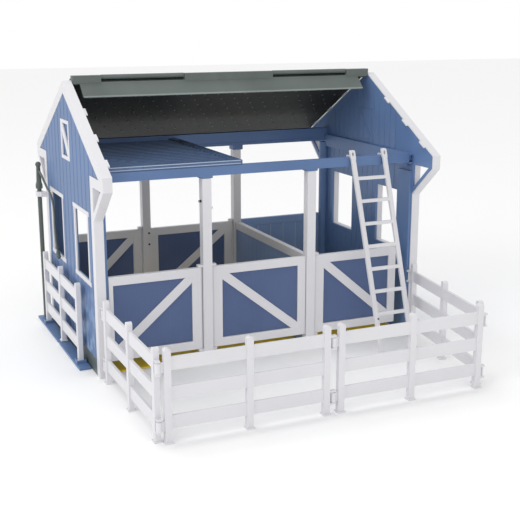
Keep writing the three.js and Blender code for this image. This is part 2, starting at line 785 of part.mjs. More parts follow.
function ladder() {
  const left = ladderPlaceShare * stableSpan;
  const rails = [left, left + ladderSpacing];
  const railTop = beamTop + ladderRise;
  const upright = rails.map((x) => block([x - ladderRailWidth / 2, x + ladderRailWidth / 2],
    [-ladderRailDepth / 2, ladderRailDepth / 2], [0, railTop]));
  for (let z = beamTop - rungDrop; z > rungPitch / 2; z -= rungPitch) {
    upright.push(block(rails, [-rungDepth / 2, rungDepth / 2], [z - rungHeight / 2, z + rungHeight / 2]));
  }
  const eyes = rails.map((x) => {
    const geometry = rod(ladderEyeRadius, ladderRailDepth * 2, facets.fine);
    geometry.translate(x, 0, railTop - ladderRailWidth / 2);
    return solidOf(geometry);
  });
  const solids = [moved(cutBy(joined(upright), eyes), leaning())];
  const half = hookWidth / 2;
  const back = frontBeamDepth + clearance * 2;
  const seat = beamTop + clearance;
  for (const x of rails) {
    const width = [x - half, x + half];
    const top = seat + hookThickness;
    solids.push(block(width, [-ladderTopOut, back + hookThickness], [seat, top]));
    solids.push(block(width, [back, back + hookThickness], [seat - hookLip, top]));
  }
  return joined(solids);
}

// Fence panels, each drawn along +X from its hinge axis and then turned into place

function fencePanel({ start, end, clips, brackets }) {
  const posts = [start, start + fenceLength / 2, start + fenceLength];
  const half = fencePost / 2;
  const deep = fencePostDepth / 2;
  const solids = posts.map((x) => {
    const shape = new THREE.Shape();
    shape.moveTo(x - half, 0);
    shape.lineTo(x + half, 0);
    shape.lineTo(x + half, fenceHeight - half);
    shape.absarc(x, fenceHeight - half, half, 0, Math.PI, false);
    const drawn = { depth: fencePostDepth, bevelEnabled: false, curveSegments: fencePostSegments };
    const geometry = new THREE.ExtrudeGeometry(shape, drawn);
    geometry.rotateX(Math.PI / 2);
    geometry.translate(0, deep, 0);
    return solidOf(geometry);
  });
  const foot = fenceFoot / 2;
  for (const x of posts) solids.push(block([x - foot, x + foot], [-foot, foot], [0, fenceFootHeight]));
  for (const shares of fenceRailShares) {
    const span = shares.map((share) => share * fenceHeight);
    solids.push(block([posts[0], posts[2]], [-fenceRailThickness / 2, fenceRailThickness / 2], span));
  }
  const ring = clipRodRadius + clearance + clipWall;
  if (clips) {
    for (const height of clipHeights) {
      const level = [height - clipHeight / 2, height + clipHeight / 2];
      solids.push(rodUp([0, 0], ring, level));
      solids.push(block([0, posts[0]], [-clipArm / 2, clipArm / 2], level));
    }
  }
  if (brackets) {
    const axis = posts[2] + end;
    const reach = clipRodRadius + clipWall / 2;
    for (const height of clipHeights) {
      const [low, high] = [height - bracketHeight / 2, height + bracketHeight / 2];
      for (const level of [[low, low + bracketLug], [high - bracketLug, high]]) {
        solids.push(block([posts[2], axis + reach], [-reach, reach], level));
      }
      solids.push(rodUp([axis, 0], clipRodRadius, [low + bracketLug / 2, high - bracketLug / 2], facets.fine));
    }
  }
  const bores = clips ? clipHeights.map((height) => rodUp([0, 0], clipRodRadius + clearance,
    [height - bracketHeight, height + bracketHeight], facets.fine)) : [];
  return cutBy(joined(solids), bores);
}

function placeFence(name, options, [x, y, z], heading) {
  const turn = new THREE.Group();
  turn.position.set(x, y, z);
  turn.rotation.z = heading;
  stable.add(turn);
  place(name, fencePanel(options), 'white', turn);
}

// Wash place on the left wall

function washBase() {
  const plate = block([-baseWidth, -clearance * 2], [washFenceFront - baseAhead, stableDepth + baseBehind],
    [0, baseThickness]);
  const cups = [washFenceFront, washFenceFront + fenceLength].map((y) => {
    const inner = fenceFoot / 2 + clearance;
    const outer = inner + cupWall;
    const height = [baseThickness / 2, baseThickness + cupHeight];
    const right = Math.min(outer, washLine - clearance * 2);
    return block([-washLine - outer, -washLine + right], [y - outer, y + outer], height)
      .subtract(block([-washLine - inner, -washLine + inner], [y - inner, y + inner],
        [baseThickness, baseThickness + cupHeight * 2]));
  });
  const socket = rodUp([-washLine, polePlace], poleRadius + clearance + cupWall,
    [baseThickness / 2, baseThickness + cupHeight], facets.wide);
  const bore = rodUp([-washLine, polePlace], poleRadius + clearance,
    [baseThickness, baseThickness + cupHeight * 2], facets.wide);
  const notch = rodUp([-baseWidth, washFenceFront + fenceLength / 2], cornerColumnRadius / 2,
    [-cutOverrun, baseThickness + cutOverrun], facets.wide);
  return cutBy(joined([plate, ...cups, socket]), [bore, notch]);
}

function washPole() {
  const foot = baseThickness + clearance;
  return joined([
    rodUp([-washLine, polePlace], poleRadius, [foot, collarBottom + collarHeight]),
    rodUp([-washLine, polePlace], poleSpigot, [collarBottom, collarBottom + collarHeight * 2], facets.fine),
  ]);
}

// White collar on the pole, held by a short arm at the gable trim's back post
function poleCollar() {
  const level = [collarBottom - collarHeight / 2, collarBottom + collarHeight / 2];
  const ring = rodUp([-washLine, polePlace], collarRadius, level, facets.wide);
  const arm = block([-washLine, -clearance], [stableDepth - trimPostDepth / 2, polePlace],
    [level[0] + clearance, level[1] - clearance]);
  const bore = rodUp([-washLine, polePlace], poleRadius + clearance,
    [level[0] - cutOverrun, level[1] + cutOverrun], facets.wide);
  return ring.add(arm).subtract(bore);
}

function sprayHandle() {
  const foot = collarBottom + collarHeight + clearance;
  const rise = handleTop - foot;
  const { flare, grip, neck } = handleShares;
  const ball = [];
  for (let step = 1; step < knobSteps; step += 1) {
    const angle = knobStartAngle + (step * (Math.PI / 2 - knobStartAngle)) / knobSteps;
    ball.push([knobRadius * Math.cos(angle), rise + knobRadius * (Math.sin(angle) - Math.sin(knobStartAngle))]);
  }
  ball.push([0, rise + knobRadius * (1 - Math.sin(knobStartAngle))]);
  const body = turned([[0, 0], [handleFlare, 0], [handleFlare, rise * flare], [handleRadius, rise * grip],
    [handleRadius * neck, rise], ...ball], [-washLine, polePlace, foot]);
  const bore = rodUp([-washLine, polePlace], poleSpigot + clearance,
    [foot - cutOverrun, collarBottom + collarHeight * 2 + clearance], facets.fine);
  return body.subtract(bore);
}

// Route of the hose, from the handle's side to its nozzle, points chosen by hand
const hoseRoute = [
  [-7, 221.6, 186], [-6.95, 217, 184.9], [-6.6, 211, 182.4], [-6.2, 205, 179], [-5.8, 199.5, 175.6],
  [-5.4, 190, 171.2], [-5, 181, 168.2], [-4.7, 173, 164.6], [-4.4, 166.6, 158.6], [-4.2, 162.8, 150.4],
  [-4.1, 161.7, 140.8], [-4.1, 162.1, 131], [-4.1, 161, 120.6], [-4.1, 158, 110.8], [-4.1, 153.4, 103.2],
];

function sweep(points, radius, sides, steps) {
  const places = points.map((point) => new THREE.Vector3(...point));
  const curve = new THREE.CatmullRomCurve3(places, false, 'centripetal');
  const circle = [];
  for (let side = 0; side < sides; side += 1) {
    const angle = (2 * Math.PI * side) / sides;
    circle.push(new THREE.Vector2(radius * Math.cos(angle), radius * Math.sin(angle)));
  }
  return solidOf(new THREE.ExtrudeGeometry(new THREE.Shape(circle),
    { steps, extrudePath: curve, bevelEnabled: false }));
}

function sprayNozzle() {
  const { mouth, end, front, back } = nozzleShares;
  const tip = new THREE.Vector3(...hoseRoute.at(-1));
  const before = new THREE.Vector3(...hoseRoute.at(-2));
  const heading = tip.clone().sub(before).normalize();
  const geometry = new THREE.LatheGeometry([
    [0, 0], [nozzleRadius * mouth, 0], [nozzleRadius, nozzleLength * front],
    [nozzleRadius, nozzleLength * back], [nozzleRadius * end, nozzleLength], [0, nozzleLength],
  ].map(([r, h]) => new THREE.Vector2(r, h)), facets.nozzle);
  geometry.translate(0, clearance, 0);
  geometry.applyQuaternion(new THREE.Quaternion().setFromUnitVectors(new THREE.Vector3(0, 1, 0), heading));
  geometry.translate(tip.x, tip.y, tip.z);
  return solidOf(geometry);
}

// Assembly

for (const side of ['left', 'right']) {
  place(`${side}_gable_trim`, gableTrim(side), 'white');
  place(`${side}_wall`, gableWall(side), 'blue');
  windowCentres().forEach((centre, index) => {
    place(`${side}_window_${index === 0 ? 'front' : 'back'}`, forSide(side, windowFrame(side, centre)), 'white');
  });
  place(`${side}_loft_door`, forSide(side, loftDoorFrame()), 'white');
}

place('front_beam', frontBeam(), 'blue');
place('back_beam', backBeam(), 'blue');
place('loft_floor', loftFloor(), 'blue');
place('front_left_post', joined([postAt(0, 'front', [-1, 1]), ...tackPins(postPlaces[0])]), 'white');
place('front_right_post', postAt(1, 'front', [1]), 'white');
place('back_left_post', postAt(0, 'back', [-1]), 'white');
place('back_right_post', postAt(1, 'back', [-1]), 'white');

place('roof_back_panel', roofBackPanel(), 'roofGrey');
const foldedBack = new THREE.Group();
foldedBack.position.set(0, ridgeLine, hingeHeight);
foldedBack.rotation.x = -roofPitch;
stable.add(foldedBack);
place('roof_front_panel', roofFrontPanel(), 'roofGrey', foldedBack);
place('ridge_rod', rodAcross([innerLeft + roofSideGap, innerRight - roofSideGap],
  [ridgeLine, hingeHeight], rodRadius, facets.fine), 'roofGrey');

const columnEdge = cornerColumnRadius + cornerColumnRadius / 2;
const sheetSpan = [innerLeft + ledgeProud, innerRight - ledgeProud];
place('floor_sheet', block(sheetSpan, [floorInset, stableDepth - floorBackInset], [0, floorThickness]), 'mustard');

const halfWallLine = stableDepth - doorLine;
place('half_wall', block([postPlaces[1] + postSide / 2 + clearance, innerRight - columnEdge - clearance],
  [halfWallLine - halfWallThickness / 2, halfWallLine + halfWallThickness / 2], [0, halfWallTop]), 'deepBlue');

const partitionSpan = [postSide + partitionEndGap, stableDepth - postSide - partitionEndGap];
const railFloor = partitionTop - partitionRailHeight;
place('stall_partition', block([postPlaces[1] - partitionSheet / 2, postPlaces[1] + partitionSheet / 2],
  partitionSpan, [floorThickness + clearance, railFloor - clearance]), 'deepBlue');
place('partition_rail', block([postPlaces[1] - partitionRailWidth / 2, postPlaces[1] + partitionRailWidth / 2],
  partitionSpan, [railFloor, partitionTop]), 'white');

const backLine = stableDepth - doorLine;
const innerFaces = postPlaces.map((x) => [x - postSide / 2, x + postSide / 2]);
door('front_left_door', hingeAxis(postPlaces[0], -1), innerLeft + pilasterProud + doorEndGap, doorLine,
  doorSlimRail);
door('front_gate', hingeAxis(postPlaces[0], 1), innerFaces[1][0] - doorEndGap, doorLine);
door('front_right_door', hingeAxis(postPlaces[1], 1), innerRight - rightDoorGap, doorLine);
door('back_left_door', hingeAxis(postPlaces[0], -1), innerLeft + columnEdge + doorEndGap, backLine);
door('back_middle_door', hingeAxis(postPlaces[1], -1), innerFaces[0][1] + doorEndGap, backLine);

place('ladder', ladder(), 'white');

placeFence('side_fence_left', { start: sideReach, end: sideEndReach, clips: true, brackets: true },
  [...leftFenceRoot, 0], -Math.PI / 2);
placeFence('front_fence_left', { start: frontReach, end: middleReach, clips: true, brackets: true },
  [leftFenceIn, fenceHingeLine, 0], 0);
placeFence('front_fence_right', { start: middleReach, end: sideEndReach, clips: true, brackets: true },
  [leftFenceIn + frontReach + fenceLength + middleReach, fenceHingeLine, 0], 0);
placeFence('side_fence_right', { start: sideReach, end: sideEndReach, clips: true, brackets: false },
  [...rightFenceRoot, 0], -Math.PI / 2 - Math.asin(rightFenceSlant / (sideReach + fenceLength)));
placeFence('wash_fence', { start: 0, end: 0, clips: false, brackets: false },
  [-washLine, washFenceFront, baseThickness + clearance], Math.PI / 2);

place('wash_base', washBase(), 'blue');
place('wash_pole', washPole(), 'poleGrey');
place('pole_collar', poleCollar(), 'white');
place('spray_handle', sprayHandle(), 'poleGrey');
place('wash_hose', sweep(hoseRoute, hoseRadius, facets.hose, hoseSteps), 'poleGrey');
place('spray_nozzle', sprayNozzle(), 'poleGrey');
place('splash_board', block([wallRecess - splashThickness - clearance, wallRecess - clearance],
  [trimPostDepth + clearance, stableDepth - trimPostDepth - clearance], [0, splashHeight]), 'poleGrey');

export default stable;
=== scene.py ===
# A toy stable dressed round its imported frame: satin boards, white moulded trim, a dark tiled roof,
# a fenced yard and a wash place. Metres, +Z up, the front of the stable at -Y.
import bpy
import bmesh
import json
import math
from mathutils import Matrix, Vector


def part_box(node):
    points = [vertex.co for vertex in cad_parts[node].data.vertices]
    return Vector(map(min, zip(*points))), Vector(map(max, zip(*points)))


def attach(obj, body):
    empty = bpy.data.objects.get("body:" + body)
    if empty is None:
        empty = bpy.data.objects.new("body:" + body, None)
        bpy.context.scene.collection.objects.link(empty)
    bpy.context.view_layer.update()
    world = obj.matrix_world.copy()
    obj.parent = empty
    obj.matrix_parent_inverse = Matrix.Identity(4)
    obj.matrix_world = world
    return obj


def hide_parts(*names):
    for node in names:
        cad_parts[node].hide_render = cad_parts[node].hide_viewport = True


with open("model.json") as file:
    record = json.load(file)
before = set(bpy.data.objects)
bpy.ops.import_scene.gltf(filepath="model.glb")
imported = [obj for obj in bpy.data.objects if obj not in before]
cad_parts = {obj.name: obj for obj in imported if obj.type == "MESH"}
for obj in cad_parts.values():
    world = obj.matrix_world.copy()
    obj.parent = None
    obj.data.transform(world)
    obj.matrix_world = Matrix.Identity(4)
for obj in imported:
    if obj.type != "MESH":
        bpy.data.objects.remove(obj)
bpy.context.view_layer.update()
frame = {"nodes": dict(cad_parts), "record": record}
record = frame["record"]
bodyOfNode = {node: body for body, members in record["behaviour"]["bodies"].items() for node in members}
slotOfNode = {row["node"]: row["material_slot"] for row in record["subparts"]}
mm = 0.001
print("stable: frame loaded,", len(bodyOfNode), "nodes")


def filled(node, values):
    # puts constants on a node's inputs
    for label, value in (values or {}).items():
        node.inputs[label].default_value = value
    return node


def addNode(tree, kind, values=None, operation=None):
    node = tree.nodes.new(kind)
    if operation:
        node.operation = operation
    return filled(node, values)


# Camera, lights and floor

cameraSet = {
    "place": (-0.4301, -1.0510, 0.3644),
    "yaw": 24.07,  # degrees to the right of +Y
    "pitch": 13.95,  # degrees below the horizon
    "lens": 68.28,
    "sensor": 36,
    "clip": (0.05, 20),
}


def addCamera():
    data = bpy.data.cameras.new("camera")
    data.lens = cameraSet["lens"]
    data.sensor_width = cameraSet["sensor"]
    data.clip_start, data.clip_end = cameraSet["clip"]
    camera = bpy.data.objects.new("camera", data)
    camera.location = cameraSet["place"]
    camera.rotation_euler = (math.radians(90 - cameraSet["pitch"]), 0, -math.radians(cameraSet["yaw"]))
    bpy.context.scene.collection.objects.link(camera)
    bpy.context.scene.camera = camera


studioSet = {
    "sky": (1.0, 1.0, 1.0),
    "skyStrength": 0.75,  # as light on the object
    "backdropStrength": 1.0,  # as seen behind it
    "floorColor": (0.95, 0.95, 0.95),
    "floorRough": 0.8,
    "floorSize": 12.0,
    # name: place, what it faces, size of the softbox, watts
    "lamps": {
        "key": ((-1.9, -0.7, 1.3), (0.0, 0.0, 0.1), 1.2, 12.5),
        "front": ((-0.3, -2.2, 0.8), (0.0, 0.0, 0.1), 1.6, 5),
    },
    # a wide overhead light that reaches the far floor too
    "overhead": {"from": (-0.1, 0.40, 1.0), "strength": 0.75, "angle": 40},
}


def placeLamp(name, data, place, target):
    lamp = bpy.data.objects.new(name, data)
    lamp.location = place
    lamp.rotation_mode = "QUATERNION"
    lamp.rotation_quaternion = (Vector(target) - Vector(place)).to_track_quat("-Z", "Y")
    bpy.context.scene.collection.objects.link(lamp)


def addLamps():
    for name, (place, target, size, watts) in studioSet["lamps"].items():
        softbox = bpy.data.lights.new(name, "AREA")
        softbox.shape = "SQUARE"
        softbox.size = size
        softbox.energy = watts
        placeLamp(name, softbox, place, target)
    look = studioSet["overhead"]
    overhead = bpy.data.lights.new("overhead", "SUN")
    overhead.energy = look["strength"]
    overhead.angle = math.radians(look["angle"])
    placeLamp("overhead", overhead, look["from"], (0, 0, 0))


def addSky():
    world = bpy.data.worlds.new("studio")
    world.use_nodes = True
    tree = world.node_tree
    sky = tree.nodes["Background"]
    sky.inputs["Color"].default_value = (*studioSet["sky"], 1)
    seen = tree.nodes.new("ShaderNodeLightPath")
    strength = addNode(tree, "ShaderNodeMapRange", {
        "To Min": studioSet["skyStrength"], "To Max": studioSet["backdropStrength"]})
    tree.links.new(seen.outputs["Is Camera Ray"], strength.inputs["Value"])
    tree.links.new(strength.outputs["Result"], sky.inputs["Strength"])
    bpy.context.scene.world = world


def addFloor():
    half = studioSet["floorSize"] / 2
    mesh = bpy.data.meshes.new("studio_floor")
    corners = [(-half, -half, 0), (half, -half, 0), (half, half, 0), (-half, half, 0)]
    mesh.from_pydata(corners, [], [(0, 1, 2, 3)])
    floor = bpy.data.objects.new("studio_floor", mesh)
    bpy.context.scene.collection.objects.link(floor)
    material = bpy.data.materials.new("studioFloor")
    material.use_nodes = True
    shader = material.node_tree.nodes["Principled BSDF"]
    shader.inputs["Base Color"].default_value = (*studioSet["floorColor"], 1)
    shader.inputs["Roughness"].default_value = studioSet["floorRough"]
    mesh.materials.append(material)


addCamera()
addSky()
addLamps()
addFloor()
bpy.context.scene.view_settings.view_transform = "Standard"
print("stable: camera and studio ready")


# Small tools that every piece uses

# in millimetres: decimals of a place, the thinnest cell that is drawn, the radius that counts as a point
drawSet = {"decimals": 4, "thinnest": 0.01, "point": 0.001}


def snap(place):
    return round(place, drawSet["decimals"])


def asObject(name, bm, material, body, stands=()):
    # stands names the nodes that the piece is seen in place of
    mesh = bpy.data.meshes.new(name)
    bmesh.ops.recalc_face_normals(bm, faces=bm.faces)
    bm.to_mesh(mesh)
    bm.free()
    piece = bpy.data.objects.new(name, mesh)
    bpy.context.scene.collection.objects.link(piece)
    mesh.materials.append(material)
    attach(piece, body)
    if stands:
        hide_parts(*stands)
    return piece


def smoothOver(piece, degrees=35):
    mesh = piece.data
    mesh.shade_smooth()
    bm = bmesh.new()
    bm.from_mesh(mesh)
    for edge in bm.edges:
        if len(edge.link_faces) == 2:
            edge.smooth = edge.calc_face_angle() < math.radians(degrees)
    bm.to_mesh(mesh)
    bm.free()


cornerShift = Vector((-190, -110, 0))


def at(x, y, z):
    # a place counted in millimetres from the stable's front left corner
    return (Vector((x, y, z)) + cornerShift) * mm


def prism(bm, polygons, put, depths):
    # draws polygons that share corners out between two depths, as one closed solid
    used = {}
    polygons = [[(snap(u), snap(v)) for u, v in polygon] for polygon in polygons]

    def corner(point, side):
        if (point, side) not in used:
            used[point, side] = bm.verts.new(put(*point, depths(*point)[side]))
        return used[point, side]

    walls = {(a, b) for polygon in polygons for a, b in zip(polygon, [*polygon[1:], polygon[0]])}
    for polygon in polygons:
        bm.faces.new([corner(point, 1) for point in polygon])
        bm.faces.new([corner(point, 0) for point in reversed(polygon)])
    for a, b in walls:
        if (b, a) not in walls:
            bm.faces.new([corner(a, 0), corner(b, 0), corner(b, 1), corner(a, 1)])


def flat(low, high):
    return lambda u, v: (low, high)


def rectangle(u0, u1, v0, v1):
    return [(u0, v0), (u1, v0), (u1, v1), (u0, v1)]


def alongX(bm, points, span, put=at):
    prism(bm, [list(points)], lambda u, v, depth: put(depth, u, v), flat(*span))


def cells(us, levels, isSolid=lambda u, v: True):
    # the quads of a grid whose columns may each have levels of their own
    quads = []
    for left, right in zip(us, us[1:]):
        for row in range(len(levels(left)) - 1):
            low, high = levels(left)[row:row + 2], levels(right)[row:row + 2]
            middle = ((left + right) / 2, sum((*low, *high)) / 4)
            if max(low[1] - low[0], high[1] - high[0]) < drawSet["thinnest"] or not isSolid(*middle):
                continue
            quad = [(left, low[0]), (right, high[0]), (right, high[1]), (left, low[1])]
            quads.append([point for index, point in enumerate(quad) if point != quad[index - 1]])
    return quads


def border(us, vs):
    # the cells of a three by three grid without the middle one
    return cells(us, lambda u: vs, lambda u, v: not (us[1] < u < us[2] and vs[1] < v < vs[2]))


def arc(centre, radius, start, end, steps):
    turns = [math.radians(start + (end - start) * step / steps) for step in range(steps + 1)]
    return [(centre[0] + radius * math.cos(turn), centre[1] + radius * math.sin(turn)) for turn in turns]


def lathe(bm, profile, put, sides):
    # a profile of (radius, height) turned round; put takes two places across and one along
    rings = []
    for radius, height in profile:
        if radius < drawSet["point"]:
            rings.append([bm.verts.new(put(0, 0, height))])
            continue
        rings.append([bm.verts.new(put(radius * math.cos(2 * math.pi * side / sides),
                                       radius * math.sin(2 * math.pi * side / sides), height))
                      for side in range(sides)])
    for low, high in zip(rings, rings[1:]):
        for side in range(sides):
            after = (side + 1) % sides
            ring = [low[side % len(low)], low[after % len(low)],
                    high[after % len(high)], high[side % len(high)]]
            bm.faces.new([vert for index, vert in enumerate(ring) if vert is not ring[index - 1]])


def stud(bm, look, put):
    # a short pin that starts under its surface; its profile is in shares of its radius and its reach
    radius, reach = look["radius"], look["reach"]
    profile = [(radius * wide, reach * high) for wide, high in look["profile"]]
    lathe(bm, [(0, -look["root"]), (radius, -look["root"]), *profile, (0, reach)], put, look["sides"])


def paintShadeOnSide(piece, material, towards, within=50):
    # gives the faces that look in one direction a finish of their own, here painted shade under the roof
    piece.data.materials.append(material)
    for face in piece.data.polygons:
        if face.normal.angle(towards) < math.radians(within):
            face.material_index = 1


def rounded(piece, width, segments=2, angle=30):
    bevel = piece.modifiers.new("bevel", "BEVEL")
    bevel.width = width * mm
    bevel.segments = segments
    bevel.limit_method = "ANGLE"
    bevel.angle_limit = math.radians(angle)


# Shader effects that several finishes share

effectSet = {
    "grain": {"Detail": 3},
    "flow": {"Detail": 2, "Distortion": 0.6},
    "highlightSamples": 4,
    "highlightRamp": {"From Min": 1.0, "From Max": 0.8},  # cosine on a flat face, and where the painted highlight is full
    "patch": {"Detail": 1},
    "patchRamp": {"From Min": 0.44, "From Max": 0.62},
    "fadeRamp": {"To Min": 1.0, "To Max": 0.0},
}


def newGroup(name, inputs, outputs):
    # every socket of these groups is one number
    group = bpy.data.node_groups.new(name, "ShaderNodeTree")
    for label, value in inputs.items():
        socket = group.interface.new_socket(label, in_out="INPUT", socket_type="NodeSocketFloat")
        socket.default_value = value
    for label in outputs:
        group.interface.new_socket(label, in_out="OUTPUT", socket_type="NodeSocketFloat")
    return group, group.nodes.new("NodeGroupInput"), group.nodes.new("NodeGroupOutput")


def mouldGrain():
    # the fine spark grain that a mould leaves, and the broad flow marks under it
    group, given, out = newGroup("mouldGrain", {"Grain Scale": 900.0, "Flow Scale": 14.0}, ["Height", "Flow"])
    places = group.nodes.new("ShaderNodeTexCoord")
    for name, scale, result in (("grain", "Grain Scale", "Height"), ("flow", "Flow Scale", "Flow")):
        noise = addNode(group, "ShaderNodeTexNoise", effectSet[name])
        group.links.new(places.outputs["Object"], noise.inputs["Vector"])
        group.links.new(given.outputs[scale], noise.inputs["Scale"])
        group.links.new(noise.outputs["Fac"], out.inputs[result])
    return group


def edgeHighlight():
    # 0 on flat faces, up to 1 where an edge is near: the mask of the painted edge highlight
    group, given, out = newGroup("edgeHighlight", {"Width": 0.0006}, ["Mask"])
    bevel = group.nodes.new("ShaderNodeBevel")
    bevel.samples = effectSet["highlightSamples"]
    surface = group.nodes.new("ShaderNodeNewGeometry")
    dot = addNode(group, "ShaderNodeVectorMath", operation="DOT_PRODUCT")
    ramp = addNode(group, "ShaderNodeMapRange", effectSet["highlightRamp"])
    group.links.new(given.outputs["Width"], bevel.inputs["Radius"])
    group.links.new(bevel.outputs["Normal"], dot.inputs[0])
    group.links.new(surface.outputs["Normal"], dot.inputs[1])
    group.links.new(dot.outputs["Value"], ramp.inputs["Value"])
    group.links.new(ramp.outputs["Result"], out.inputs["Mask"])
    return group


def lowPalePatches():
    # pale patches low on a wall, fading out with height
    group, given, out = newGroup("lowPalePatches", {"Patch Scale": 75.0, "Height": 0.11}, ["Mask"])
    places = group.nodes.new("ShaderNodeTexCoord")
    split = group.nodes.new("ShaderNodeSeparateXYZ")
    patches = addNode(group, "ShaderNodeTexNoise", effectSet["patch"])
    edge = addNode(group, "ShaderNodeMapRange", effectSet["patchRamp"])
    fade = addNode(group, "ShaderNodeMapRange", effectSet["fadeRamp"])
    both = addNode(group, "ShaderNodeMath", operation="MULTIPLY")
    group.links.new(places.outputs["Object"], split.inputs["Vector"])
    group.links.new(places.outputs["Object"], patches.inputs["Vector"])
    group.links.new(given.outputs["Patch Scale"], patches.inputs["Scale"])
    group.links.new(split.outputs["Z"], fade.inputs["Value"])
    group.links.new(given.outputs["Height"], fade.inputs["From Max"])
    group.links.new(patches.outputs["Fac"], edge.inputs["Value"])
    group.links.new(fade.outputs["Result"], both.inputs[0])
    group.links.new(edge.outputs["Result"], both.inputs[1])
    group.links.new(both.outputs["Value"], out.inputs["Mask"])
    return group


grainGroup = mouldGrain()
highlightGroup = edgeHighlight()
lowPatchGroup = lowPalePatches()


# Finishes: colours are linear, a highlight is the painted highlight on edges, a shade the darker flow mark

finishSet = {
    "blueBoard": {"base": (0.115, 0.195, 0.376), "shade": (0.097, 0.168, 0.335), "rub": (0.25, 0.36, 0.60),
                  "rough": (0.36, 0.46), "grain": 900, "flow": 11, "bump": 0.00003, "gloss": 0.35},
    "bluePanel": {"base": (0.088, 0.130, 0.262), "shade": (0.075, 0.113, 0.232), "rub": (0.20, 0.28, 0.48),
                  "rough": (0.38, 0.48), "grain": 900, "flow": 13, "bump": 0.00003, "gloss": 0.35},
    # a darker copy of the board blue: painted shade on the loft floor
    "loftBoardShaded": {"base": (0.078, 0.130, 0.245), "shade": (0.062, 0.106, 0.205), "rub": (0.25, 0.36, 0.60),
                  "rough": (0.22, 0.30), "grain": 900, "flow": 11, "bump": 0.00003, "gloss": 0.5},
    # a lighter copy of the board blue: painted light on the right wall's inside
    "insideBoardLit": {"base": (0.132, 0.224, 0.428), "shade": (0.108, 0.188, 0.375), "rub": (0.25, 0.36, 0.60),
                    "rough": (0.36, 0.46), "grain": 900, "flow": 11, "bump": 0.00003, "gloss": 0.35},
    # a much lighter copy of the panel blue: painted light on the half wall and the partition
    "stallPanelLit": {"base": (0.240, 0.350, 0.585), "shade": (0.205, 0.305, 0.520), "rub": (0.38, 0.48, 0.70),
                   "rough": (0.38, 0.48), "grain": 900, "flow": 13, "bump": 0.00003, "gloss": 0.35},
    # paler still: painted highlights along the beads
    "stallBeadHighlight": {"base": (0.400, 0.500, 0.660), "shade": (0.340, 0.440, 0.600), "rub": (0.55, 0.64, 0.78),
                  "rough": (0.30, 0.40), "grain": 900, "flow": 13, "bump": 0.00002, "gloss": 0.4},
    "whiteTrim": {"base": (0.720, 0.716, 0.742), "shade": (0.685, 0.681, 0.708), "rub": (0.84, 0.84, 0.86),
                  "rough": (0.30, 0.38), "grain": 1100, "flow": 9, "bump": 0.00002, "gloss": 0.5},
    "roofTile": {"base": (0.136, 0.161, 0.155), "shade": (0.102, 0.124, 0.115), "rub": (0.30, 0.34, 0.32),
                 "rough": (0.42, 0.56), "grain": 700, "flow": 16, "bump": 0.00005, "gloss": 0.4},
    # the tile colour darkened for the underside: painted shade, and its broad flow patches are painted sheen
    "roofInsideShaded": {"base": (0.075, 0.078, 0.068), "shade": (0.008, 0.009, 0.010), "rub": (0.05, 0.055, 0.055),
                   "rough": (0.50, 0.62), "grain": 700, "flow": 3.5, "bump": 0.00004, "gloss": 0.15},
    # a pale copy of the tile colour: painted highlight along the skirt's lip
    "roofLipHighlight": {"base": (0.290, 0.330, 0.315), "shade": (0.240, 0.280, 0.265), "rub": (0.42, 0.46, 0.44),
                "rough": (0.42, 0.52), "grain": 700, "flow": 16, "bump": 0.00003, "gloss": 0.4},
    "washGrey": {"base": (0.098, 0.118, 0.113), "shade": (0.080, 0.098, 0.092), "rub": (0.20, 0.23, 0.22),
                 "rough": (0.34, 0.44), "grain": 900, "flow": 20, "bump": 0.00003, "gloss": 0.4},
    "floorMustard": {"base": (0.900, 0.630, 0.008), "shade": (0.820, 0.550, 0.006), "rub": (0.92, 0.70, 0.05),
                     "rough": (0.46, 0.58), "grain": 500, "flow": 18, "bump": 0.00005, "gloss": 0.3},
    # near black for the dark pins; the clip gaps use it as painted shadow
    "tackHook": {"base": (0.020, 0.021, 0.024), "shade": (0.014, 0.015, 0.017), "rub": (0.06, 0.06, 0.07),
                 "rough": (0.35, 0.45), "grain": 1200, "flow": 30, "bump": 0.00001, "gloss": 0.4},
}
# the left wall's boards, paler in patches towards the bottom
finishSet["washedBoard"] = {**finishSet["blueBoard"], "splash": (0.27, 0.38, 0.56)}
mixSet = {"flowRamp": {"From Min": 0.3, "From Max": 0.7}, "highlightShare": 0.5, "bumpStrength": 0.6}


def addGroup(tree, group, values=None):
    node = tree.nodes.new("ShaderNodeGroup")
    node.node_tree = group
    return filled(node, values)


def tinted(tree, under, colour, factor):
    # a colour laid over another, as far as the factor says; the one under it is a constant or a socket
    mix = tree.nodes.new("ShaderNodeMix")
    mix.data_type = "RGBA"
    if isinstance(under, tuple):
        mix.inputs["A"].default_value = (*under, 1)
    else:
        tree.links.new(under, mix.inputs["A"])
    mix.inputs["B"].default_value = (*colour, 1)
    tree.links.new(factor, mix.inputs["Factor"])
    return mix.outputs["Result"]


